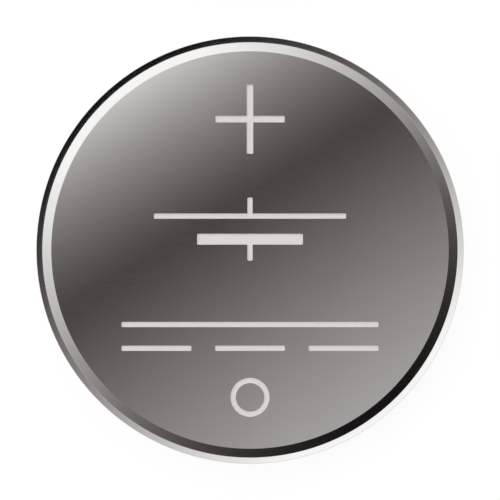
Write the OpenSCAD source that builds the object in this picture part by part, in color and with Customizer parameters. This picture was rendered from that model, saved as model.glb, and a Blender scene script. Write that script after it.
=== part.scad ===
// Lithium coin cell, 20.0 x 3.2 mm
// It lies on its negative cap, with the positive face up. Z = 0 is the cap's flat, and Z is the axis.

/* [Cell] */
// Outer diameter of the cell
cell_d = 20; // [18:0.1:24]
// Height over both faces
cell_h = 3.2; // [2.8:0.1:5]
// Thickness of the positive can's sheet
can_wall = 0.25; // [0.2:0.01:0.3]
// Thickness of the negative cap's sheet
cap_wall = 0.25; // [0.2:0.01:0.3]

/* [Positive face] */
// Radial width of the shallow ring around the flat of the face
bevel_w = 0.43; // [0.2:0.01:0.6]
// Fall of the shallow ring, in degrees
bevel_tilt = 8; // [4:0.5:18]
// Radial width of the steep ring outside it
shoulder_w = 0.33; // [0.1:0.01:0.35]
// Fall of the steep ring, in degrees
shoulder_tilt = 33; // [22:0.5:36]
// Radius where the steep ring turns into the side
edge_r = 0.08; // [0.04:0.01:0.15]
// Inside corner radius of the can's floor
floor_r = 0.38; // [0.2:0.01:0.45]

/* [Crimp] */
// Outer radius of the rolled rim
crimp_r = 0.8; // [0.75:0.01:0.95]
// Width of the rolled rim's flat, inside its bend
rim_flat = 0.2; // [0.1:0.01:0.3]
// How far the cap's flat stands below the rolled rim
cap_proud = 0.3; // [0.15:0.01:0.4]
// Radial gap between the rim's mouth and the cap
mouth_gap = 0.3; // [0.2:0.01:0.35]

/* [Negative cap] */
// Outer radius of the raised middle's edge
plateau_bend_r = 0.5; // [0.3:0.01:0.55]
// Radius of the hollow bend at the foot of the raised middle
step_bend_r = 0.2; // [0.1:0.01:0.25]
// Outer radius of the bend from the step to the skirt
skirt_bend_r = 0.45; // [0.35:0.01:0.55]

/* [Gasket] */
// Thickness beside the cap's skirt
gasket_wall = 0.33; // [0.25:0.01:0.4]
// Thickness between the skirt's edge and the can's floor
gasket_foot = 0.35; // [0.25:0.01:0.45]
// Thickness between the rolled rim and the cap's step
gasket_seat = 0.21; // [0.15:0.01:0.3]
// Thickness of the lip inside the skirt
lip_w = 0.36; // [0.2:0.01:0.4]
// Height of the lip inside the skirt
lip_h = 0.6; // [0.3:0.05:0.9]
// Depth of the gasket's edge inside the rim's mouth
mouth_recess = 0.08; // [0.03:0.01:0.15]
// Clearance between the gasket's sides and the steel
fit_gap = 0.02; // [0.01:0.005:0.04]

/* [Cell stack] */
// Thickness of the lithium disc
lithium_t = 0.65; // [0.4:0.05:0.9]
// Radial gap from the lithium disc to where the cap's edge starts to bend
lithium_gap = 0.5; // [0.2:0.05:1]
// Thickness of the separator
separator_t = 0.15; // [0.1:0.01:0.2]
// Radial gap from the separator to the cap's raised middle
separator_gap = 0.15; // [0.05:0.01:0.3]
// Thickness of the collector
collector_t = 0.1; // [0.06:0.01:0.15]
// Radial width of the pellet outside the collector
collector_margin = 0.8; // [0.3:0.05:1.5]
// Radial gap from the pellet to the gasket's lip
pellet_gap = 0.75; // [0.3:0.05:1]
// Chamfer on the pellet's edges
pellet_chamfer = 0.12; // [0.05:0.01:0.2]

/* [Collector mesh] */
// Long way of one diamond, from knuckle to knuckle
mesh_long = 2.2; // [1.8:0.1:3]
// Short way of one diamond
mesh_short = 1.3; // [1.1:0.1:1.8]
// Width of a strand
strand_w = 0.22; // [0.15:0.01:0.3]
// Solid border around the mesh
mesh_border = 0.35; // [0.2:0.05:0.8]

/* [Marks on the positive face] */
// Depth of the marks
mark_depth = 0.05; // [0.02:0.01:0.1]
// Distance of the plus sign's centre from the axis
plus_y = 6.06; // [5:0.01:6.4]
// Length of the plus sign's arms over all
plus_l = 3.2; // [2:0.1:3.6]
// Stroke of the plus sign
plus_w = 0.3; // [0.15:0.01:0.5]
// Distance of the cell symbol's centre from the axis
symbol_y = 1.1; // [0:0.05:1.5]
// Width of the cell symbol's long plate
long_plate_l = 8.9; // [6:0.1:11]
// Stroke of the long plate and the leads
long_plate_w = 0.24; // [0.15:0.01:0.4]
// Width of the cell symbol's short plate
short_plate_l = 4.9; // [3:0.1:5.5]
// Stroke of the short plate
short_plate_w = 0.5; // [0.3:0.01:0.7]
// Gap between the two plates
plate_gap = 0.7; // [0.4:0.05:0.9]
// Length of each lead, past its plate
lead_l = 0.74; // [0.4:0.02:1]
// Distance of the direct-current sign's centre below the axis
current_y = 4; // [3.5:0.05:4.6]
// Length of the direct-current sign's line
current_l = 11.9; // [8:0.1:13]
// Stroke of the direct-current sign
current_w = 0.24; // [0.15:0.01:0.4]
// Distance between the sign's line and its dashes
current_pitch = 1.1; // [0.8:0.05:1.4]
// Gap between two dashes
dash_gap = 1.1; // [0.6:0.1:1.6]
// Distance of the ring mark's centre below the axis
ring_y = 6.82; // [6.4:0.01:7.4]
// Outer diameter of the ring mark
ring_d = 1.8; // [1:0.01:2.2]
// Stroke of the ring mark
ring_w = 0.24; // [0.15:0.01:0.4]

/* [Hidden] */
$fn = 128;
past = 1;   // how far a cut runs past what it cuts
dashes = 3; // dashes of the direct-current sign

// Radii of the can
can_r = cell_d / 2;
can_in_r = can_r - can_wall;
crimp_x = can_r - crimp_r;
mouth_r = crimp_x - rim_flat;

// Outer corner of the positive face, from the side up to the flat
edge_x = can_r - edge_r;
shoulder_end_x = edge_x + edge_r * sin(shoulder_tilt);
shoulder_x = shoulder_end_x - shoulder_w;
face_r = shoulder_x - bevel_w;
shoulder_z = cell_h - bevel_w * tan(bevel_tilt);
shoulder_end_z = shoulder_z - shoulder_w * tan(shoulder_tilt);
edge_z = shoulder_end_z - edge_r * cos(shoulder_tilt);

// Heights, from the cap's flat up
rim_z = cap_proud;
crimp_z = rim_z + crimp_r;
seat_z = rim_z + can_wall + fit_gap;
step_z = seat_z + gasket_seat + fit_gap;
skirt_bend_z = step_z + skirt_bend_r;
can_floor_z = cell_h - can_wall;
skirt_end_z = can_floor_z - gasket_foot;

// Radii of the cap
plateau_out_r = mouth_r - mouth_gap;
plateau_bend_x = plateau_out_r - plateau_bend_r;
step_bend_x = plateau_out_r + step_bend_r;
step_bend_z = step_z - step_bend_r;
skirt_out_r = can_in_r - gasket_wall - 2 * fit_gap;
skirt_bend_x = skirt_out_r - skirt_bend_r;

// Radii of the gasket's lip and of the stack
lip_out_r = skirt_out_r - cap_wall - fit_gap;
lip_in_r = lip_out_r - lip_w;
lithium_r = plateau_bend_x - lithium_gap;
separator_r = plateau_out_r - cap_wall - separator_gap;
pellet_r = lip_in_r - pellet_gap;
collector_r = pellet_r - collector_margin;
mesh_r = collector_r - mesh_border;

// Heights of the stack
lithium_z = cap_wall;
separator_z = lithium_z + lithium_t;
pellet_z = separator_z + separator_t;
collector_z = can_floor_z - collector_t;
pellet_t = collector_z - pellet_z;

// An upright band of a section, from one radius and height to another
module band(r_in, z_low, r_out, z_high) {
    translate([r_in, z_low]) square([r_out - r_in, z_high - z_low]);
}

// A round of a section
module bead(r, x, z) {
    translate([x, z]) circle(r);
}

// Section of the can's outer form, filled to the axis
module can_form() {
    polygon([[0, crimp_z], [can_r, crimp_z], [can_r, edge_z], [shoulder_end_x, shoulder_end_z],
             [shoulder_x, shoulder_z], [face_r, cell_h], [0, cell_h]]);
    bead(edge_r, edge_x, edge_z);
    bead(crimp_r, crimp_x, crimp_z);
    band(0, rim_z, crimp_x, crimp_z);
}

// Section of the room inside the can, filled to the axis, with a gap on its side and under its rim
module can_room(gap) {
    room_r = can_in_r - gap;
    bend_r = crimp_r - can_wall - gap;
    band(0, crimp_z, room_r, can_floor_z - floor_r);
    band(0, crimp_z, room_r - floor_r, can_floor_z);
    bead(floor_r, room_r - floor_r, can_floor_z - floor_r);
    bead(bend_r, crimp_x, crimp_z);
    band(0, crimp_z - bend_r, crimp_x, crimp_z);
}

// Section of the cap, filled to the axis and grown by a distance, up to a height
module cap_form(grow, top_z) {
    bead(plateau_bend_r + grow, plateau_bend_x, plateau_bend_r);
    band(0, -grow, plateau_bend_x, top_z);
    band(0, plateau_bend_r, plateau_out_r + grow, top_z);
    difference() {
        band(0, step_bend_z, step_bend_x, top_z);
        bead(step_bend_r - grow, step_bend_x, step_bend_z);
    }
    band(0, step_z - grow, skirt_bend_x, top_z);
    bead(skirt_bend_r + grow, skirt_bend_x, skirt_bend_z);
    band(0, skirt_bend_z, skirt_out_r + grow, top_z);
}

// A bar of a mark, so wide and so high, centred on a point
module bar(width, height, x, y) {
    translate([x - width / 2, y - height / 2]) square([width, height]);
}

// Plus sign of the positive pole
module plus_sign() {
    bar(plus_l, plus_w, 0, plus_y);
    bar(plus_w, plus_l, 0, plus_y);
}

// Circuit symbol of a cell: a long plate towards the plus sign, a short thick one and a lead to each
module cell_symbol() {
    long_y = symbol_y + (plate_gap + long_plate_w) / 2;
    short_y = symbol_y - (plate_gap + short_plate_w) / 2;
    long_reach = long_plate_w / 2 + lead_l;
    short_reach = short_plate_w / 2 + lead_l;
    bar(long_plate_l, long_plate_w, 0, long_y);
    bar(short_plate_l, short_plate_w, 0, short_y);
    bar(long_plate_w, long_reach, 0, long_y + long_reach / 2);
    bar(long_plate_w, short_reach, 0, short_y - short_reach / 2);
}

// Sign of direct current: a line over a row of dashes
module current_sign() {
    line_y = -current_y + current_pitch / 2;
    dash_y = -current_y - current_pitch / 2;
    dash_l = (current_l - (dashes - 1) * dash_gap) / dashes;
    bar(current_l, current_w, 0, line_y);
    for (i = [0 : dashes - 1])
        bar(dash_l, current_w, (i - (dashes - 1) / 2) * (dash_l + dash_gap), dash_y);
}

// Plain ring mark
module ring_mark() {
    translate([0, -ring_y]) difference() {
        circle(ring_d / 2);
        circle(ring_d / 2 - ring_w);
    }
}

module positive_can() {
    color("#b9b5b3") difference() {
        rotate_extrude() difference() {
            can_form();
            can_room(0);
            band(0, 0, mouth_r, crimp_z);
        }
        translate([0, 0, cell_h - mark_depth]) linear_extrude(mark_depth + past) {
            plus_sign();
            cell_symbol();
            current_sign();
            ring_mark();
        }
    }
}

module cathode_collector() {
    columns = ceil(mesh_r / mesh_long);
    rows = ceil(mesh_r / mesh_short);
    hole_x = mesh_long / 2 * (1 - strand_w / mesh_short);
    hole_y = (mesh_short - strand_w) / 2;
    color("#9c9a98") translate([0, 0, collector_z]) difference() {
        cylinder(h = collector_t, r = collector_r);
        for (shift = [0, 0.5], i = [-columns : columns], j = [-rows : rows]) {
            x = (i + shift) * mesh_long;
            y = (j + shift) * mesh_short;
            if (norm([abs(x) + hole_x, y]) < mesh_r && norm([x, abs(y) + hole_y]) < mesh_r)
                translate([x, y, -past]) linear_extrude(collector_t + 2 * past)
                    polygon([[-hole_x, 0], [0, -hole_y], [hole_x, 0], [0, hole_y]]);
        }
    }
}

module cathode_pellet() {
    flat_r = pellet_r - pellet_chamfer;
    color("#2b2b2d") translate([0, 0, pellet_z]) rotate_extrude()
        polygon([[0, 0], [flat_r, 0], [pellet_r, pellet_chamfer], [pellet_r, pellet_t - pellet_chamfer],
                 [flat_r, pellet_t], [0, pellet_t]]);
}

module separator() {
    color("#f2f1ec") translate([0, 0, separator_z]) cylinder(h = separator_t, r = separator_r);
}

module lithium_anode() {
    color("#a9aaa6") translate([0, 0, lithium_z]) cylinder(h = lithium_t, r = lithium_r);
}

module gasket() {
    lip_x = lip_in_r + lip_w / 2;
    lip_z = skirt_end_z - lip_h + lip_w / 2;
    color("#e3e4df") rotate_extrude() {
        difference() {
            union() {
                can_room(fit_gap);
                band(0, rim_z + mouth_recess, mouth_r - fit_gap, crimp_z);
            }
            cap_form(fit_gap, skirt_end_z);
            band(0, skirt_bend_z, lip_in_r, cell_h);
        }
        band(lip_in_r, lip_z, lip_out_r, skirt_end_z);
        bead(lip_w / 2, lip_x, lip_z);
    }
}

module negative_cap() {
    color("#c3c0bd") rotate_extrude() difference() {
        cap_form(0, skirt_end_z);
        cap_form(-cap_wall, skirt_end_z + past);
    }
}

positive_can();
cathode_collector();
cathode_pellet();
separator();
lithium_anode();
gasket();
negative_cap();
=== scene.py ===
"""Looks of a lithium coin cell, 20.0 by 3.2 mm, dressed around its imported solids.

The cell lies on its negative cap, with the positive face up and the plus sign towards +Y. Sections and
sizes are in millimetres, and each mesh is in metres, in the frame of the solids.
"""

import logging
import math
from dataclasses import dataclass
from enum import Enum
from functools import partial
from typing import Any

import bpy
import numpy as np
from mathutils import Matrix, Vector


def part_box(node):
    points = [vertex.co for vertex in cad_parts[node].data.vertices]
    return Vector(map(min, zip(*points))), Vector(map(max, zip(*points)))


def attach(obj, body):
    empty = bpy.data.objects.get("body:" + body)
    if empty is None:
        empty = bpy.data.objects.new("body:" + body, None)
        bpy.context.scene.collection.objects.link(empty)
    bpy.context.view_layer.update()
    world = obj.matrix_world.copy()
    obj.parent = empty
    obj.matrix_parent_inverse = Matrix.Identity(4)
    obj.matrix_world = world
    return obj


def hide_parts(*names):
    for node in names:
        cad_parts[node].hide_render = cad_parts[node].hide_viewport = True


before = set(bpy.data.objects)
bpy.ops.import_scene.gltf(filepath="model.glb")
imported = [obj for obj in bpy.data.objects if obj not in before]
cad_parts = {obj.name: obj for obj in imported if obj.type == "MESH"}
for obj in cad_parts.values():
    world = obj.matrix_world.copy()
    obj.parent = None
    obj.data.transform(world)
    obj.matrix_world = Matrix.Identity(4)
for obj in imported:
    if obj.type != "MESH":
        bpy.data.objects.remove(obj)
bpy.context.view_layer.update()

log = logging.getLogger("coin_cell")

MM = 0.001
BODY = "root"
OUTER_TURNS = 384  # steps round a piece that shows
INNER_TURNS = 192  # steps round a piece sealed inside, and round the floor
MARK_TURNS = 96  # steps round the ring mark
ARC_STEP = math.radians(6)  # largest turn from one point of a rounding to the next
FLAT_WEIGHT = 90  # extra pull of the larger faces on a corner's normal, from 50, none, to 100
LEVEL_SLACK = 1e-4  # how far off its height a level face's corner may lie, in millimetres
LEVEL_FACING = 0.7  # upright part of a face's normal, from which it counts as level
WHITE = (1.0, 1.0, 1.0, 1.0)
MIX_A, MIX_B, MIX_COLOUR = 6, 7, 2  # a Mix node's colour inputs and output, by number


def linear(code: str) -> tuple[float, float, float, float]:
    """Turns an sRGB colour into the linear one that a shader takes.

    Each channel c of 0 to 1 becomes c / 12.92 up to 0.04045, and ((c + 0.055) / 1.055) to the power 2.4
    above it.

    Args:
        code: the colour as "#rrggbb".

    Returns:
        Linear red, green and blue, with an alpha of 1.
    """
    parts = [int(code[i : i + 2], 16) / 255 for i in (1, 3, 5)]
    red, green, blue = (c / 12.92 if c <= 0.04045 else ((c + 0.055) / 1.055) ** 2.4 for c in parts)
    return red, green, blue, 1.0


def add_node(
    tree: bpy.types.NodeTree, kind: str, settings: dict[str | int, Any], output: str | int = 0
) -> bpy.types.NodeSocket:
    """Adds a node with its settings and links.

    Args:
        tree: the node tree that it goes into.
        kind: the node's type, such as "ShaderNodeTexNoise".
        settings: by input name, input number or property name, its value or the output linked to it.
        output: name or number of the output that is returned.

    Returns:
        That output of the new node.
    """
    node = tree.nodes.new(kind)
    for name, value in settings.items():
        if isinstance(name, str) and name not in node.inputs:
            setattr(node, name, value)
        elif isinstance(value, bpy.types.NodeSocket):
            tree.links.new(value, node.inputs[name])
        else:
            node.inputs[name].default_value = value
    return node.outputs[output]


def new_material(name: str) -> tuple[bpy.types.Material, bpy.types.NodeTree, bpy.types.Node]:
    """Makes a node material.

    Args:
        name: the material's name.

    Returns:
        The material, its node tree and its shader.
    """
    material = bpy.data.materials.new(name)
    material.use_nodes = True
    tree = material.node_tree
    return material, tree, tree.nodes["Principled BSDF"]


@dataclass(frozen=True)
class Corner:
    """A corner of a section, at a radius and a height, and the radius that rounds it, in millimetres."""

    r: float
    z: float
    rounding: float = 0.0


def rounded(corners: list[Corner], closed: bool) -> np.ndarray:
    """Draws a section's outline, with an arc in each rounded corner.

    The arc of radius R in a corner with half angle h starts and ends R / tan(h) from the corner. Its
    centre lies on the bisector, R / sin(h) away, and its points turn evenly from the one end to the other.

    Args:
        corners: the corners in order.
        closed: True if the last corner is joined to the first.

    Returns:
        The points, one row of radius and height each.
    """
    places = np.array([(c.r, c.z) for c in corners])
    last = len(corners) - 1
    runs = []
    for i, (corner, place) in enumerate(zip(corners, places)):
        if corner.rounding == 0 or (not closed and i in (0, last)):
            runs.append(place[None])
            continue
        before = places[i - 1] - place
        after = places[(i + 1) % len(corners)] - place
        before = before / np.linalg.norm(before)
        after = after / np.linalg.norm(after)
        half = math.acos(float(np.clip(before @ after, -1, 1))) / 2
        bisector = (before + after) / np.linalg.norm(before + after)
        centre = place + bisector * corner.rounding / math.sin(half)
        first = place + before * corner.rounding / math.tan(half) - centre
        second = place + after * corner.rounding / math.tan(half) - centre
        turn = math.pi - 2 * half
        share = np.linspace(0, 1, max(2, math.ceil(turn / ARC_STEP)) + 1)[:, None]
        spread = np.sin((1 - share) * turn) * first + np.sin(share * turn) * second
        runs.append(centre + spread / math.sin(turn))
    return np.concatenate(runs)


def mesh_object(name: str, points: np.ndarray, faces: list[list[int]]) -> bpy.types.Object:
    """Makes a smooth-shaded object of points in millimetres and puts it into the scene.

    Args:
        name: the object's name.
        points: one row per vertex.
        faces: vertex numbers of each face, anticlockwise from outside.

    Returns:
        The object, at the origin.
    """
    mesh = bpy.data.meshes.new(name)
    mesh.from_pydata((points * MM).tolist(), [], faces)
    mesh.polygons.foreach_set("use_smooth", np.ones(len(mesh.polygons), bool))
    mesh.update()
    obj = bpy.data.objects.new(name, mesh)
    bpy.context.scene.collection.objects.link(obj)
    return obj


def skin(rows: int, columns: int, joined: bool) -> list[list[int]]:
    """Joins a grid of points into faces, round its columns and along its rows.

    Point (i, j) has the number i * columns + j. Each face takes (i, j), (i + 1, j), (i + 1, j + 1) and
    (i, j + 1), with j counted round. A grid whose last row doesn't meet its first gets one flat face over
    each end row.

    Args:
        rows: points along the profile.
        columns: points round the path.
        joined: True if the last row is joined to the first.

    Returns:
        The faces.
    """
    number = np.arange(rows * columns).reshape(rows, columns)
    near, far = (number, np.roll(number, -1, axis=0)) if joined else (number[:-1], number[1:])
    around = [np.roll(side, -1, axis=1) for side in (near, far)]
    faces = np.stack([near, far, around[1], around[0]], axis=-1).reshape(-1, 4).tolist()
    if not joined:
        faces += [number[0].tolist(), number[-1][::-1].tolist()]
    return faces


def revolve(
    name: str, section: np.ndarray, turns: int, centre: tuple[float, float] = (0, 0)
) -> bpy.types.Object:
    """Turns a section about an upright axis.

    Point (i, j) is (x + r cos a, y + r sin a, z), with r and z from point i of the section and
    a = j / turns of a full turn. A section that starts and ends on the axis loses those two points, and a
    flat disc closes each end.

    Args:
        name: the object's name.
        section: radius and height of each point, clockwise with the radius to the right.
        turns: steps round the axis.
        centre: the axis's place, x and y.

    Returns:
        The object.
    """
    joined = bool(section[0, 0] > 0)
    ring = section if joined else section[1:-1]
    angle = np.linspace(0, 2 * math.pi, turns, endpoint=False)[None]
    r, z = ring[:, :1], ring[:, 1:]
    x, y = centre[0] + r * np.cos(angle), centre[1] + r * np.sin(angle)
    grid = np.stack([x, y, z + np.zeros_like(angle)], axis=-1)
    return mesh_object(name, grid.reshape(-1, 3), skin(len(ring), turns, joined))


def carry(
    name: str, wall: np.ndarray, corners: np.ndarray, rounding: float, places: np.ndarray, steps: int
) -> bpy.types.Object:
    """Carries a wall's section round convex outlines, and closes each at its top and its bottom.

    Round each corner, t goes evenly from square to the edge before it to square to the edge after it.
    With e and z from point i of the wall, point (i, j) is place + corner + (rounding + e) (cos t, sin t),
    at height z.

    Args:
        name: the object's name.
        wall: distance outside the outline and height of each point, from the top down.
        corners: centres of the outline's rounded corners, anticlockwise, one row of x and y each.
        rounding: radius of those corners.
        places: centre of each outline, one row of x and y each.
        steps: points round each corner.

    Returns:
        The object, with one closed shell for each place.
    """
    edge = np.roll(corners, -1, axis=0) - corners
    square = np.unwrap(np.arctan2(-edge[:, 0], edge[:, 1]))
    start = np.roll(square, 1)
    start[0] -= 2 * math.pi
    turn = (start[:, None] + (square - start)[:, None] * np.linspace(0, 1, steps)).reshape(-1)
    spread = np.stack([np.cos(turn), np.sin(turn)], axis=-1)
    e, z = wall[:, 0, None, None], wall[:, 1]
    flat = np.repeat(corners, steps, axis=0) + (rounding + e) * spread
    level = np.broadcast_to(z[:, None, None], flat.shape[:2] + (1,))
    shell = np.concatenate([flat, level], axis=-1).reshape(-1, 3)
    shift = np.concatenate([places, np.zeros((len(places), 1))], axis=1)
    faces = skin(len(wall), len(turn), False)
    numbered = [[v + k * len(shell) for v in face] for k in range(len(places)) for face in faces]
    return mesh_object(name, (shift[:, None] + shell).reshape(-1, 3), numbered)


def apply_modifiers(obj: bpy.types.Object) -> None:
    """Replaces a piece's mesh by what its modifiers make of it.

    Args:
        obj: the piece.
    """
    bpy.context.view_layer.update()
    shown = obj.evaluated_get(bpy.context.evaluated_depsgraph_get())
    made = bpy.data.meshes.new_from_object(shown)
    made.name = obj.name
    obj.modifiers.clear()
    obj.data = made


def cut(obj: bpy.types.Object, cutters: list[bpy.types.Object]) -> None:
    """Takes each cutter out of a piece, and throws the cutters away.

    Args:
        obj: the piece, whose mesh is replaced.
        cutters: closed forms.
    """
    for cutter in cutters:
        taken = obj.modifiers.new("cut", "BOOLEAN")
        taken.operation = "DIFFERENCE"
        taken.solver = "MANIFOLD"
        taken.object = cutter
    apply_modifiers(obj)
    for cutter in cutters:
        bpy.data.meshes.remove(cutter.data)
    obj.data.materials.clear()


def settle_normals(obj: bpy.types.Object, sharp_deg: float) -> None:
    """Gives large flats their own normals and lets the roundings between them shade smoothly.

    Args:
        obj: the piece, whose mesh is replaced.
        sharp_deg: edges that turn by more than this stay sharp.
    """
    obj.data.set_sharp_from_angle(angle=math.radians(sharp_deg))
    weighted = obj.modifiers.new("weighted", "WEIGHTED_NORMAL")
    weighted.keep_sharp = True
    weighted.weight = FLAT_WEIGHT
    apply_modifiers(obj)


def level_normals(obj: bpy.types.Object, height: float, up: int = 1) -> None:
    """Turns a level face's normals straight up or down, with those of the roundings that start on it.

    The cuts leave long thin triangles in that face, whose corners would else lean with the cuts' walls.

    Args:
        obj: the piece.
        height: the face's height in millimetres.
        up: 1 if the face looks up, -1 if it looks down.
    """
    mesh = obj.data
    parts = (mesh.loops, mesh.vertices, mesh.polygons)
    normal, place, facing = (np.empty(3 * len(part), np.float32) for part in parts)
    vertex, corners = (np.empty(len(part), np.int32) for part in (mesh.loops, mesh.polygons))
    mesh.corner_normals.foreach_get("vector", normal)
    mesh.vertices.foreach_get("co", place)
    mesh.polygons.foreach_get("normal", facing)
    mesh.loops.foreach_get("vertex_index", vertex)
    mesh.polygons.foreach_get("loop_total", corners)
    at_height = np.abs(place[2::3][vertex] / MM - height) < LEVEL_SLACK
    level = at_height & (np.repeat(facing[2::3], corners) * up > LEVEL_FACING)
    normal = normal.reshape(-1, 3)
    normal[level] = (0, 0, up)
    mesh.normals_split_custom_set(normal.tolist())


@dataclass(frozen=True)
class SatinSteel:
    """Stainless sheet, cold-rolled and then drawn.

    Rolling leaves fine straight grain on the flats, and the drawing die leaves upright streaks on the
    side wall. Both are too shallow to see by themselves, and show as a satin spread of what the metal
    mirrors.
    """

    name: str
    colour: str
    roughness: float
    grain_mm: float = 0.05  # real grain is about 0.01 mm wide, drawn coarser so that it shows
    grain_run_mm: float = 1.2
    grain_height_mm: float = 0.00008
    grain_detail: float = 2.0
    grain_break: float = 0.55  # strength of each finer layer of the grain
    roughness_spread: float = 0.025
    cloud_mm: float = 3.0
    cloud_detail: float = 3.0
    cloud_dimmest: float = 0.975
    noise_low: float = 0.3  # nearly all of a noise lies between these two
    noise_high: float = 0.7
    wall_tilt: float = 0.45  # upright part of the normal, up to which a surface has the wall's streaks
    flat_tilt: float = 0.75  # and from which it has the flats' grain

    def make(self) -> bpy.types.Material:
        """Builds the material.

        Returns:
            The material.
        """
        material, tree, shader = new_material(self.name)
        add = partial(add_node, tree)
        place = add("ShaderNodeTexCoord", {}, "Object")
        fine, run = 1 / (self.grain_mm * MM), 1 / (self.grain_run_mm * MM)
        grains = []
        for scale in ((fine, fine, run), (run, fine, fine)):
            drawn = add("ShaderNodeMapping", {"Vector": place, "Scale": scale})
            layers = {"Scale": 1.0, "Detail": self.grain_detail, "Roughness": self.grain_break}
            grains.append(add("ShaderNodeTexNoise", {"Vector": drawn, **layers}))
        upright_streaks, flat_grain = grains
        facing = add("ShaderNodeSeparateXYZ", {0: add("ShaderNodeNewGeometry", {}, "Normal")}, "Z")
        upright = add("ShaderNodeMath", {"operation": "ABSOLUTE", 0: facing})
        tilt = {"Value": upright, "From Min": self.wall_tilt, "From Max": self.flat_tilt}
        sides = {"interpolation_type": "SMOOTHSTEP", "To Min": upright_streaks, "To Max": flat_grain}
        grain = add("ShaderNodeMapRange", {**tilt, **sides})
        clouds = {"Vector": place, "Scale": 1 / (self.cloud_mm * MM), "Detail": self.cloud_detail}
        cloud = add("ShaderNodeTexNoise", clouds)
        noise = {"From Min": self.noise_low, "From Max": self.noise_high}
        dimming = {"Value": cloud, "To Min": self.cloud_dimmest, "To Max": 1.0}
        tone = add("ShaderNodeMapRange", {**noise, **dimming})
        mix = {"blend_type": "MULTIPLY", 0: 1.0, MIX_A: linear(self.colour), MIX_B: tone}
        low, high = self.roughness - self.roughness_spread, self.roughness + self.roughness_spread
        blur = {"Value": grain, "To Min": low, "To Max": high}
        wired = {
            "Base Color": add("ShaderNodeMix", {"data_type": "RGBA", **mix}, MIX_COLOUR),
            "Roughness": add("ShaderNodeMapRange", {**noise, **blur}),
            "Normal": add("ShaderNodeBump", {"Height": grain, "Distance": self.grain_height_mm * MM}),
        }
        for name, source in wired.items():
            tree.links.new(source, shader.inputs[name])
        shader.inputs["Metallic"].default_value = 1.0
        return material


@dataclass(frozen=True)
class GrainedFinish:
    """A dull finish with a grain, in two near colours and a shallow relief.

    It is dull because its surface is broken up finer than the eye sees: etched metal, moulded or spun
    plastic, pressed powder, or soft rolled metal.
    """

    name: str
    colour: str
    fleck: str
    roughness: float
    grain_mm: float
    height_mm: float
    metallic: float = 0.0
    ior: float = 1.5
    subsurface: float = 0.0
    subsurface_mm: float = 0.4
    sheen: float = 0.0
    squeeze: tuple[float, float, float] = (1.0, 1.0, 1.0)  # below 1 draws the grain out along that axis
    grain_detail: float = 4.0
    grain_break: float = 0.6  # strength of each finer layer of the grain
    fleck_from: float = 0.35  # noise up to which only the colour shows
    fleck_to: float = 0.65  # and from which only the fleck does

    def make(self) -> bpy.types.Material:
        """Builds the material.

        Returns:
            The material.
        """
        material, tree, shader = new_material(self.name)
        add = partial(add_node, tree)
        place = add("ShaderNodeTexCoord", {}, "Object")
        drawn = add("ShaderNodeMapping", {"Vector": place, "Scale": self.squeeze})
        fine = 1 / (self.grain_mm * MM)
        noise = {"Scale": fine, "Detail": self.grain_detail, "Roughness": self.grain_break}
        grain = add("ShaderNodeTexNoise", {"Vector": drawn, **noise})
        flecks = {"Value": grain, "From Min": self.fleck_from, "From Max": self.fleck_to}
        share = add("ShaderNodeMapRange", flecks)
        mix = {0: share, MIX_A: linear(self.colour), MIX_B: linear(self.fleck)}
        wired = {
            "Base Color": add("ShaderNodeMix", {"data_type": "RGBA", **mix}, MIX_COLOUR),
            "Normal": add("ShaderNodeBump", {"Height": grain, "Distance": self.height_mm * MM}),
        }
        for name, source in wired.items():
            tree.links.new(source, shader.inputs[name])
        fixed = {
            "Roughness": self.roughness,
            "Metallic": self.metallic,
            "IOR": self.ior,
            "Subsurface Weight": self.subsurface,
            "Subsurface Radius": (1.0, 1.0, 1.0),
            "Subsurface Scale": self.subsurface_mm * MM,
            "Sheen Weight": self.sheen,
        }
        for name, value in fixed.items():
            shader.inputs[name].default_value = value
        return material


class Finish(Enum):
    """The cell's finishes."""

    # Deep-drawn stainless with bright nickel plating: a clean, slightly warm grey that mirrors softly.
    CAN = SatinSteel("drawn_nickel_plated_steel", "#bab9b8", roughness=0.085)
    # The same sheet without the plating: a little duller, and a trace more yellow.
    CAP = SatinSteel("drawn_stainless_steel", "#bdbab6", roughness=0.17)
    # Slit and stretched stainless: torn strand sides leave it greyer and much duller.
    COLLECTOR = SatinSteel("expanded_stainless_steel", "#a9a6a3", roughness=0.33)
    # Laser-etched steel: the pitted floor scatters light, so the marks look pale and matt from all sides.
    MARK = GrainedFinish(
        "laser_etched_steel", "#e5e0df", "#dcd7d6", roughness=0.7, grain_mm=0.05, height_mm=0.003
    )
    # Moulded natural polypropylene: milky, with a soft waxy gloss and light that spreads inside it.
    SEAL = GrainedFinish(
        "moulded_polypropylene",
        "#e6e5de",
        "#dfded6",
        roughness=0.42,
        grain_mm=0.6,
        height_mm=0.002,
        ior=1.49,
        subsurface=0.35,
    )
    # Pressed oxide powder: almost black and matt, with the grit of the press showing.
    PELLET = GrainedFinish(
        "pressed_oxide_powder", "#1d1d1f", "#343437", roughness=0.75, grain_mm=0.08, height_mm=0.012
    )
    # Spun-laid polypropylene: white and fully matt, its fibres drawn along the roll.
    FLEECE = GrainedFinish(
        "nonwoven_polypropylene",
        "#f2f1eb",
        "#e2e0d8",
        roughness=0.9,
        grain_mm=0.12,
        height_mm=0.03,
        sheen=0.3,
        squeeze=(0.25, 1.0, 1.0),
    )
    # Rolled lithium: a soft, silvery grey metal with long blurred roll marks.
    LITHIUM = GrainedFinish(
        "rolled_lithium",
        "#b9b8b2",
        "#a6a59f",
        roughness=0.4,
        grain_mm=0.15,
        height_mm=0.002,
        metallic=1.0,
        squeeze=(0.05, 1.0, 1.0),
    )

    def make(self) -> bpy.types.Material:
        """Builds the finish's material."""
        return self.value.make()


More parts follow.
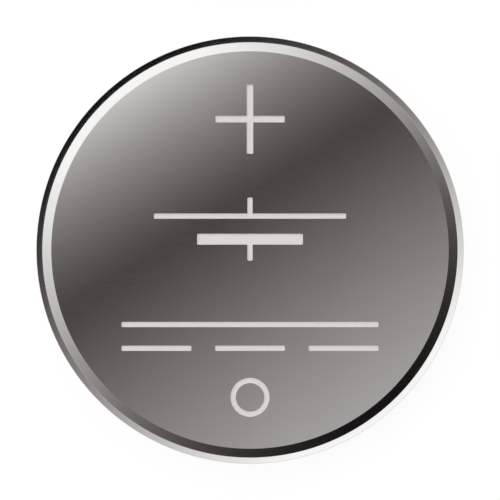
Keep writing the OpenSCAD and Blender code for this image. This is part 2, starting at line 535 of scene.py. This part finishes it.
@dataclass
class CellSizes:
    """Sizes that several pieces share, in millimetres. The overall ones come from the solids."""

    radius: float
    height: float
    can_wall: float = 0.25
    cap_wall: float = 0.25
    fit_gap: float = 0.02
    floor_bend: float = 0.38
    crimp_bend: float = 0.8
    rim_flat: float = 0.2
    rim_z: float = 0.3
    mouth_gap: float = 0.3
    gasket_wall: float = 0.33
    gasket_foot: float = 0.35
    gasket_seat: float = 0.21
    step_bend: float = 0.2
    skirt_bend: float = 0.45
    sheared: float = 0.03  # rounding of a sheared or moulded edge

    @classmethod
    def from_frame(cls) -> "CellSizes":
        """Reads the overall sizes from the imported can."""
        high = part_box("positive_can")[1]
        return cls(radius=high.x / MM, height=high.z / MM)

    @property
    def mouth_r(self) -> float:
        """Radius of the rolled rim's mouth."""
        return self.radius - self.crimp_bend - self.rim_flat

    @property
    def plateau_r(self) -> float:
        """Outer radius of the cap's raised middle."""
        return self.mouth_r - self.mouth_gap

    @property
    def seat_z(self) -> float:
        """Height of the gasket's underside on the rolled rim."""
        return self.rim_z + self.can_wall + self.fit_gap

    @property
    def step_z(self) -> float:
        """Height of the underside of the cap's step."""
        return self.seat_z + self.gasket_seat + self.fit_gap

    @property
    def floor_z(self) -> float:
        """Height of the inside of the can's floor."""
        return self.height - self.can_wall

    @property
    def skirt_end_z(self) -> float:
        """Height of the edge of the cap's skirt."""
        return self.floor_z - self.gasket_foot

    @property
    def skirt_r(self) -> float:
        """Outer radius of the cap's skirt."""
        return self.radius - self.can_wall - self.gasket_wall - 2 * self.fit_gap


@dataclass
class Marks:
    """Recessed marks of the face: a plus sign, a cell symbol, a direct-current sign and a ring."""

    face_z: float
    depth: float = 0.05
    draft: float = 0.01  # how far a wall leans out on its way up
    lip: float = 0.02  # radius of the arc at a wall's top
    lip_deg: float = 70.0
    lip_steps: int = 5
    corner: float = 0.05  # radius of a stroke's corners, seen from above
    corner_steps: int = 5
    above: float = 0.1  # how far a cutter stands out of the face
    plus_y: float = 6.06
    plus_l: float = 3.2
    plus_w: float = 0.3
    symbol_y: float = 1.1
    long_plate_l: float = 8.9
    long_plate_w: float = 0.24
    short_plate_l: float = 4.9
    short_plate_w: float = 0.5
    plate_gap: float = 0.7
    lead_l: float = 0.74
    current_y: float = -4.0
    current_l: float = 11.9
    current_w: float = 0.24
    current_pitch: float = 1.1
    dash_gap: float = 1.1
    dashes: int = 3
    ring_y: float = -6.82
    ring_d: float = 1.8
    ring_w: float = 0.24

    def wall(self) -> np.ndarray:
        """Draws the section of a cut's wall, from above the face down to the cut's floor.

        The wall leans out by the draft as it goes up, and an arc of the lip's radius turns its top out.

        Returns:
            Distance outside the mark's outline, which is 0 at the face, and height of each point.
        """
        turn = np.radians(np.linspace(self.lip_deg, 0, self.lip_steps))
        out = self.lip * (math.cos(turn[0]) - np.cos(turn))
        lip = np.stack([out, self.face_z - self.lip * (math.sin(turn[0]) - np.sin(turn))], axis=1)
        foot = [[out[-1] - self.draft, self.face_z - self.depth]]
        return np.concatenate([[[0, self.face_z + self.above]], lip, foot])

    def bar(self, width: float, height: float, x: float, y: float) -> bpy.types.Object:
        """Makes the cutter of one straight stroke, the wall's section carried round a rectangle.

        Args:
            width: the stroke's extent along X.
            height: its extent along Y.
            x: its centre along X.
            y: its centre along Y.

        Returns:
            The cutter.
        """
        reach = np.array([width, height]) / 2 - self.corner
        corners = reach * [[1, -1], [1, 1], [-1, 1], [-1, -1]]
        return carry("cutter", self.wall(), corners, self.corner, np.array([[x, y]]), self.corner_steps)

    def ring(self) -> bpy.types.Object:
        """Makes the cutter of the ring mark, its outer and inner wall turned about the ring's centre.

        Returns:
            The cutter.
        """
        radius = self.ring_d / 2
        outer = self.wall() + [radius, 0]
        inner = self.wall()[::-1] * [-1, 1] + [radius - self.ring_w, 0]
        return revolve("cutter", np.concatenate([outer, inner]), MARK_TURNS, (0, self.ring_y))

    def cutters(self) -> list[bpy.types.Object]:
        """Makes a cutter for each stroke of each mark.

        Returns:
            The cutters.
        """
        long_y = self.symbol_y + (self.plate_gap + self.long_plate_w) / 2
        short_y = self.symbol_y - (self.plate_gap + self.short_plate_w) / 2
        long_reach, short_reach = (w / 2 + self.lead_l for w in (self.long_plate_w, self.short_plate_w))
        dash_l = (self.current_l - (self.dashes - 1) * self.dash_gap) / self.dashes
        dash_x = (np.arange(self.dashes) - (self.dashes - 1) / 2) * (dash_l + self.dash_gap)
        line_y, dash_y = (self.current_y + side * self.current_pitch / 2 for side in (1, -1))
        return [
            self.bar(self.plus_l, self.plus_w, 0, self.plus_y),
            self.bar(self.plus_w, self.plus_l, 0, self.plus_y),
            self.bar(self.long_plate_l, self.long_plate_w, 0, long_y),
            self.bar(self.short_plate_l, self.short_plate_w, 0, short_y),
            self.bar(self.long_plate_w, long_reach, 0, long_y + long_reach / 2),
            self.bar(self.long_plate_w, short_reach, 0, short_y - short_reach / 2),
            self.bar(self.current_l, self.current_w, 0, line_y),
            *(self.bar(dash_l, self.current_w, float(x), dash_y) for x in dash_x),
            self.ring(),
        ]


@dataclass
class PositiveCan:
    """The drawn can: the face with its marks, the two rings round it, the side and the rolled rim."""

    sizes: CellSizes
    bevel_w: float = 0.43
    bevel_tilt: float = 8.0
    shoulder_w: float = 0.33
    shoulder_tilt: float = 33.0
    edge_bend: float = 0.08  # rounding from the steep ring into the side
    crease: float = 0.02  # rounding of the two rings' inner edges
    sunk_margin: float = 0.001  # slack in telling the marks' faces by their height
    sharp_deg: float = 40.0

    def section(self) -> np.ndarray:
        """Draws the can's section, from the middle of the face out, down the side and back inside.

        Returns:
            Radius and height of each point.
        """
        s = self.sizes
        tilt = math.radians(self.shoulder_tilt)
        shoulder_r = s.radius - self.edge_bend * (1 - math.sin(tilt)) - self.shoulder_w
        shoulder_z = s.height - self.bevel_w * math.tan(math.radians(self.bevel_tilt))
        inside = s.radius - s.can_wall
        corners = [
            Corner(0, s.height),
            Corner(shoulder_r - self.bevel_w, s.height, self.crease),
            Corner(shoulder_r, shoulder_z, self.crease),
            Corner(s.radius, shoulder_z - (s.radius - shoulder_r) * math.tan(tilt), self.edge_bend),
            Corner(s.radius, s.rim_z, s.crimp_bend),
            Corner(s.mouth_r, s.rim_z, s.sheared),
            Corner(s.mouth_r, s.rim_z + s.can_wall, s.sheared),
            Corner(inside, s.rim_z + s.can_wall, s.crimp_bend - s.can_wall),
            Corner(inside, s.floor_z, s.floor_bend),
            Corner(0, s.floor_z),
        ]
        return rounded(corners, closed=False)

    def build(self) -> bpy.types.Object:
        """Builds the can, cuts the marks into it and dresses it.

        Returns:
            The can.
        """
        face_z = self.sizes.height
        marks = Marks(face_z)
        can = revolve("can", self.section(), OUTER_TURNS)
        cut(can, marks.cutters())
        settle_normals(can, self.sharp_deg)
        level_normals(can, face_z)
        for finish in (Finish.CAN, Finish.MARK):
            can.data.materials.append(finish.make())
        centre = np.empty(len(can.data.polygons) * 3, np.float32)
        can.data.polygons.foreach_get("center", centre)
        x, y, z = centre.reshape(-1, 3).T / MM
        # Inside the rings, nothing but the marks lies between the face and the depth of the cuts
        sunk = (z < face_z - self.sunk_margin) & (z > face_z - marks.depth - self.sunk_margin)
        inside = np.hypot(x, y) < self.sizes.radius - self.bevel_w - 2 * self.shoulder_w
        can.data.polygons.foreach_set("material_index", (sunk & inside).astype(np.int32))
        return can


@dataclass
class NegativeCap:
    """The stepped cap: its raised middle, the step under the rolled rim and the skirt in the gasket."""

    sizes: CellSizes
    plateau_bend: float = 0.5
    sharp_deg: float = 60.0

    def section(self) -> np.ndarray:
        """Draws the cap's section, from the middle of its inside out to the skirt and back outside.

        Returns:
            Radius and height of each point.
        """
        s = self.sizes
        wall = s.cap_wall
        corners = [
            Corner(0, wall),
            Corner(s.plateau_r - wall, wall, self.plateau_bend - wall),
            Corner(s.plateau_r - wall, s.step_z + wall, s.step_bend + wall),
            Corner(s.skirt_r - wall, s.step_z + wall, s.skirt_bend - wall),
            Corner(s.skirt_r - wall, s.skirt_end_z, s.sheared),
            Corner(s.skirt_r, s.skirt_end_z, s.sheared),
            Corner(s.skirt_r, s.step_z, s.skirt_bend),
            Corner(s.plateau_r, s.step_z, s.step_bend),
            Corner(s.plateau_r, 0, self.plateau_bend),
            Corner(0, 0),
        ]
        return rounded(corners, closed=False)

    def build(self) -> bpy.types.Object:
        """Builds the cap and dresses it.

        Returns:
            The cap.
        """
        cap = revolve("cap", self.section(), OUTER_TURNS)
        settle_normals(cap, self.sharp_deg)
        cap.data.materials.append(Finish.CAP.make())
        return cap


@dataclass
class Gasket:
    """The moulded seal: a wall beside the skirt, a foot, a lip inside it and an edge in the mouth."""

    sizes: CellSizes
    lip_w: float = 0.36
    lip_h: float = 0.6
    lip_roundness: float = 0.49  # of the lip's width, just short of where its two roundings meet
    mouth_recess: float = 0.08
    mouth_crown: float = 0.1  # rounding of the edge that shows in the mouth
    sharp_deg: float = 60.0

    def section(self) -> np.ndarray:
        """Draws the gasket's closed section, clockwise from the inner corner of its foot.

        Returns:
            Radius and height of each point.
        """
        s = self.sizes
        gap = s.fit_gap
        outside = s.radius - s.can_wall - gap
        lip_out = s.skirt_r - s.cap_wall - gap
        lip_in = lip_out - self.lip_w
        lip_low = s.skirt_end_z - self.lip_h
        lip_round = self.lip_w * self.lip_roundness
        edge_z = s.rim_z + self.mouth_recess
        step_z = s.step_z - gap
        corners = [
            Corner(lip_in, s.floor_z, s.sheared),
            Corner(outside, s.floor_z, s.floor_bend),
            Corner(outside, s.seat_z, s.crimp_bend - s.can_wall - gap),
            Corner(s.mouth_r - gap, s.seat_z, s.sheared),
            Corner(s.mouth_r - gap, edge_z, self.mouth_crown),
            Corner(s.plateau_r + gap, edge_z, self.mouth_crown),
            Corner(s.plateau_r + gap, step_z, s.step_bend - gap),
            Corner(s.skirt_r + gap, step_z, s.skirt_bend + gap),
            Corner(s.skirt_r + gap, s.skirt_end_z),
            Corner(lip_out, s.skirt_end_z),
            Corner(lip_out, lip_low, lip_round),
            Corner(lip_in, lip_low, lip_round),
        ]
        return rounded(corners, closed=True)

    def build(self) -> bpy.types.Object:
        """Builds the gasket and dresses it.

        Returns:
            The gasket.
        """
        gasket = revolve("seal_ring", self.section(), OUTER_TURNS)
        settle_normals(gasket, self.sharp_deg)
        gasket.data.materials.append(Finish.SEAL.make())
        return gasket


@dataclass
class Disc:
    """A disc of the cell stack, as wide and as high as its solid, with rounded or chamfered edges."""

    node: str
    finish: Finish
    rounding: float
    chamfer: float = 0.0
    sharp_deg: float = 60.0

    def section(self) -> np.ndarray:
        """Draws the disc's section, from the middle of its top out and back along its bottom.

        Returns:
            Radius and height of each point.
        """
        low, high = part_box(self.node)
        radius, bottom, top = high.x / MM, low.z / MM, high.z / MM
        flat = radius - self.chamfer
        corners = [Corner(0, top), Corner(flat, top, self.rounding)]
        if self.chamfer:
            corners += [
                Corner(radius, top - self.chamfer, self.rounding),
                Corner(radius, bottom + self.chamfer, self.rounding),
            ]
        corners += [Corner(flat, bottom, self.rounding), Corner(0, bottom)]
        return rounded(corners, closed=False)

    def build(self) -> bpy.types.Object:
        """Builds the disc and dresses it.

        Returns:
            The disc.
        """
        disc = revolve(self.node + "_disc", self.section(), INNER_TURNS)
        settle_normals(disc, self.sharp_deg)
        disc.data.materials.append(self.finish.make())
        return disc


@dataclass
class Collector(Disc):
    """The collector: a disc of expanded mesh, whose strands have worn edges."""

    mesh_long: float = 2.2
    mesh_short: float = 1.3
    strand_w: float = 0.22
    mesh_border: float = 0.35
    strand_edge: float = 0.04  # radius of the arc along a strand's edge
    edge_deg: float = 75.0
    edge_steps: int = 4
    hole_corner: float = 0.06
    corner_steps: int = 3
    past: float = 0.05  # how far the cutter runs past each face

    def holes(self) -> bpy.types.Object:
        """Makes one cutter with a shell for each diamond, a wall carried round it.

        The diamonds stand in rows and columns, once from the middle and once half a pitch off in both
        directions. A diamond stays out where one of its points would pass the border. The centre of a
        corner's rounding R lies R / sin(h) inside its point, with h half the corner's angle. At each face
        of the disc the wall turns out as an arc.

        Returns:
            The cutter.
        """
        low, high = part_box(self.node)
        bottom, top, mesh_r = low.z / MM, high.z / MM, high.x / MM - self.mesh_border
        half_x = self.mesh_long / 2 * (1 - self.strand_w / self.mesh_short)
        half_y = (self.mesh_short - self.strand_w) / 2
        columns, rows = math.ceil(mesh_r / self.mesh_long), math.ceil(mesh_r / self.mesh_short)
        i, j, shift = np.meshgrid(np.arange(-columns, columns + 1), np.arange(-rows, rows + 1), (0, 0.5))
        x, y = (i + shift).ravel() * self.mesh_long, (j + shift).ravel() * self.mesh_short
        kept = (np.hypot(abs(x) + half_x, y) < mesh_r) & (np.hypot(x, abs(y) + half_y) < mesh_r)
        reach = self.hole_corner * math.hypot(half_x, half_y)
        tip_x, tip_y = half_x - reach / half_y, half_y - reach / half_x
        corners = np.array([[tip_x, 0], [0, tip_y], [-tip_x, 0], [0, -tip_y]])
        turn = np.radians(np.linspace(self.edge_deg, 0, self.edge_steps))
        out = self.strand_edge * (1 - np.cos(turn))
        drop = self.strand_edge * (math.sin(turn[0]) - np.sin(turn))
        upper = np.stack([out, top - drop], axis=1)
        lower = np.stack([out, bottom + drop], axis=1)[::-1]
        above, below = [[out[0], top + self.past]], [[out[0], bottom - self.past]]
        wall = np.concatenate([above, upper, lower, below])
        places = np.stack([x[kept], y[kept]], axis=1)
        return carry("cutter", wall, corners, self.hole_corner, places, self.corner_steps)

    def build(self) -> bpy.types.Object:
        """Builds the disc, cuts the mesh into it and dresses it.

        Returns:
            The disc.
        """
        disc = revolve(self.node + "_disc", self.section(), INNER_TURNS)
        cut(disc, [self.holes()])
        settle_normals(disc, self.sharp_deg)
        low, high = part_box(self.node)
        level_normals(disc, high.z / MM)
        level_normals(disc, low.z / MM, -1)
        disc.data.materials.append(self.finish.make())
        return disc


@dataclass
class Sky:
    """The soft light of a studio, as a tone for each direction that light comes from.

    High up it is bright on the side of the key light and dark opposite, as a softbox over one shoulder
    and a black card over the other leave it. Near the floor the two are changed round, and an almost even
    band lies between. Tones are display values of 0 to 1.
    """

    face_deg: float = 122.0  # bearing of the key light over the face, from +X towards +Y
    ring_deg: float = 129.0  # bearing of the key light round the cell
    valley: float = 0.065  # part of a direction towards the key light, at which the zenith is darkest
    valley_tone: float = 0.27
    # Rise of the zenith's tone from the valley, towards the key light and away from it
    near_slope: float = 1.62
    near_curve: float = 3.4
    far_slope: float = 1.35
    far_curve: float = -0.83
    # Tone of each zone around it, and how far it swings with the bearing
    upper_tone: float = 0.55
    upper_swing: float = 0.45
    band_tone: float = 0.77
    band_swing: float = 0.1
    lower_tone: float = 0.535
    lower_swing: float = -0.475
    brightest: float = 0.957
    darkest: float = 0.05
    # Heights between which one zone changes into the next
    steps: tuple[tuple[float, float], ...] = ((0.17, 0.22), (0.72, 0.8), (0.885, 0.935))
    warm: tuple[float, float, float, float] = (1.0, 0.86, 0.86, 1.0)  # cast of the dark tones
    warm_from: float = 0.29
    warm_to: float = 0.8
    gamma: float = 2.2
    gain: float = 2.08  # radiance of a tone of 1
    least: float = 0.0001  # keeps the root off zero straight up

    def build(self) -> None:
        """Lights the scene.

        With d the direction, p is its part along a bearing, z its height and c = p / sqrt(1 - z * z). In
        the zenith the tone is the valley's, plus slope * x + curve * x * x, with x the distance of p from
        the valley and a slope and a curve for each side. Around it, from the top down, come an upper zone,
        a band and a lower zone, each with a tone of its own plus a swing of its own times c. The radiance
        is the gain times the tone to the power gamma, and its colour goes from the warm cast to white as
        the tone rises. The camera itself sees plain white past the floor.
        """
        world = bpy.data.worlds.new("studio_sky")
        bpy.context.scene.world = world
        world.use_nodes = True
        tree = world.node_tree
        add = partial(add_node, tree)
        direction = add("ShaderNodeTexCoord", {}, "Generated")
        height = add("ShaderNodeSeparateXYZ", {0: direction}, "Z")
        known: dict[Any, Any] = {"height": height}
        for name, degrees in (("face", self.face_deg), ("ring", self.ring_deg)):
            bearing = (math.cos(math.radians(degrees)), math.sin(math.radians(degrees)), 0.0)
            dot = {"operation": "DOT_PRODUCT", 0: direction, 1: bearing}
            known[name] = add("ShaderNodeVectorMath", dot, "Value")
        sums = [
            ("square", "MULTIPLY", "height", "height"),
            ("rest", "SUBTRACT", 1.0, "square"),
            ("spare", "MAXIMUM", "rest", self.least),
            ("level", "SQRT", "spare"),
            ("c", "DIVIDE", "ring", "level"),
            ("near", "SUBTRACT", "face", self.valley),
            ("near", "MAXIMUM", "near", 0.0),
            ("far", "SUBTRACT", self.valley, "face"),
            ("far", "MAXIMUM", "far", 0.0),
            ("near slope", "MULTIPLY_ADD", "near", self.near_curve, self.near_slope),
            ("far slope", "MULTIPLY_ADD", "far", self.far_curve, self.far_slope),
            ("zenith", "MULTIPLY_ADD", "near", "near slope", self.valley_tone),
            ("zenith", "MULTIPLY_ADD", "far", "far slope", "zenith"),
            ("upper", "MULTIPLY_ADD", "c", self.upper_swing, self.upper_tone),
            ("band", "MULTIPLY_ADD", "c", self.band_swing, self.band_tone),
            ("lower", "MULTIPLY_ADD", "c", self.lower_swing, self.lower_tone),
        ]
        for name, operation, *terms in sums:
            inputs = {i: known.get(term, term) for i, term in enumerate(terms)}
            known[name] = add("ShaderNodeMath", {"operation": operation, **inputs})
        tone = known["lower"]
        for (low, high), above in zip(self.steps, ("band", "upper", "zenith")):
            reach = {"Value": height, "From Min": low, "From Max": high}
            zones = {"interpolation_type": "SMOOTHSTEP", "To Min": tone, "To Max": known[above]}
            tone = add("ShaderNodeMapRange", {**reach, **zones})
        tone = add("ShaderNodeClamp", {"Value": tone, "Min": self.darkest, "Max": self.brightest})
        power = add("ShaderNodeMath", {"operation": "POWER", 0: tone, 1: self.gamma})
        radiance = add("ShaderNodeMath", {"operation": "MULTIPLY", 0: power, 1: self.gain})
        fading = {"Value": tone, "From Min": self.warm_from, "From Max": self.warm_to}
        cast = add("ShaderNodeMapRange", fading)
        warmth = {"data_type": "RGBA", 0: cast, MIX_A: self.warm, MIX_B: WHITE}
        colour = add("ShaderNodeMix", warmth, MIX_COLOUR)
        lit = add("ShaderNodeBackground", {"Color": colour, "Strength": radiance})
        backdrop = tree.nodes["Background"]
        backdrop.inputs["Color"].default_value = WHITE
        camera_ray = add("ShaderNodeLightPath", {}, "Is Camera Ray")
        sky = add("ShaderNodeMixShader", {0: camera_ray, 1: lit, 2: backdrop.outputs[0]})
        tree.links.new(sky, tree.nodes["World Output"].inputs["Surface"])


@dataclass
class Studio:
    """A plain pale floor under the studio sky, and a camera straight above the cell."""

    sizes: CellSizes
    photo_side: float = 500.0
    cell_px: float = 213.6  # radius of the cell's outline in the picture
    outline_drop: float = 0.35  # from the face down to the outline
    lens: float = 50.0
    sensor: float = 36.0
    clip_near: float = 1.0
    clip_far: float = 2000.0
    floor_r: float = 600.0
    floor_white: float = 1.12
    floor_white_share: float = 0.75
    paper: str = "#e4e4e3"
    paper_patch: str = "#e7e7e6"
    paper_patches: float = 60.0  # to the metre
    paper_roughness: float = 0.9
    paper_gloss: float = 0.2

    def floor(self) -> None:
        """Lays the pale floor, which shows near white and keeps the cell's soft shadow.

        Point i is (R cos a, R sin a, 0), with a = i / steps of a full turn. To the camera, in mirrors and
        through clear things, a share of the paper is a white glow. To all other rays it is paper alone.
        """
        angle = np.linspace(0, 2 * math.pi, INNER_TURNS, endpoint=False)
        points = self.floor_r * np.stack([np.cos(angle), np.sin(angle), np.zeros_like(angle)], axis=1)
        floor = mesh_object("floor", points, [list(range(INNER_TURNS))])
        # Uncoated paper: fully matt, and cloudy by a trace between two near whites
        material, tree, shader = new_material("pale_paper")
        add = partial(add_node, tree)
        place = add("ShaderNodeTexCoord", {}, "Object")
        grain = add("ShaderNodeTexNoise", {"Vector": place, "Scale": self.paper_patches})
        mix = {0: grain, MIX_A: linear(self.paper), MIX_B: linear(self.paper_patch)}
        paper = add("ShaderNodeMix", {"data_type": "RGBA", **mix}, MIX_COLOUR)
        tree.links.new(paper, shader.inputs["Base Color"])
        shader.inputs["Roughness"].default_value = self.paper_roughness
        shader.inputs["Specular IOR Level"].default_value = self.paper_gloss
        rays = add("ShaderNodeLightPath", {}, "Is Camera Ray")
        path = rays.node
        for kind in ("Is Glossy Ray", "Is Transmission Ray"):
            rays = add("ShaderNodeMath", {"operation": "MAXIMUM", 0: rays, 1: path.outputs[kind]})
        share = add("ShaderNodeMath", {"operation": "MULTIPLY", 0: rays, 1: self.floor_white_share})
        glow = add("ShaderNodeEmission", {"Color": WHITE, "Strength": self.floor_white})
        both = add("ShaderNodeMixShader", {0: share, 1: shader.outputs[0], 2: glow})
        tree.links.new(both, tree.nodes["Material Output"].inputs["Surface"])
        floor.data.materials.append(material)

    def camera(self) -> None:
        """Sets the camera straight above, so far up that the cell is as large as in the picture.

        A length L at distance D is side * lens / sensor * L / D pixels long, which gives D.
        """
        data = bpy.data.cameras.new("camera")
        data.lens = self.lens
        data.sensor_width = self.sensor
        data.clip_start = self.clip_near * MM
        data.clip_end = self.clip_far * MM
        camera = bpy.data.objects.new("camera", data)
        bpy.context.scene.collection.objects.link(camera)
        distance = self.photo_side * self.lens / self.sensor * self.sizes.radius / self.cell_px
        camera.location = (0.0, 0.0, (self.sizes.height - self.outline_drop + distance) * MM)
        bpy.context.scene.camera = camera

    def build(self) -> None:
        """Builds the sky, the floor and the camera."""
        Sky().build()
        self.floor()
        self.camera()
        bpy.context.scene.view_settings.view_transform = "Standard"


def seat(piece: bpy.types.Object, node: str) -> None:
    """Lets a piece stand for a node, rides it on the body and reports it.

    Args:
        piece: the new piece.
        node: the node that it stands for.
    """
    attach(piece, BODY)
    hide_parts(node)
    log.info("%s stands for %s: %d faces", piece.name, node, len(piece.data.polygons))


def main() -> None:
    """Builds the studio and the cell."""
    logging.basicConfig(level=logging.INFO, format="%(message)s")
    sizes = CellSizes.from_frame()
    Studio(sizes).build()
    seat(PositiveCan(sizes).build(), "positive_can")
    seat(Gasket(sizes).build(), "gasket")
    seat(NegativeCap(sizes).build(), "negative_cap")
    collector = Collector("cathode_collector", Finish.COLLECTOR, rounding=0.03).build()
    seat(collector, "cathode_collector")
    pellet = Disc("cathode_pellet", Finish.PELLET, rounding=0.03, chamfer=0.12).build()
    seat(pellet, "cathode_pellet")
    lithium = Disc("lithium_anode", Finish.LITHIUM, rounding=0.08).build()
    seat(lithium, "lithium_anode")
    separator = Disc("separator", Finish.FLEECE, rounding=0.05).build()
    seat(separator, "separator")


if __name__ == "__main__":
    main()
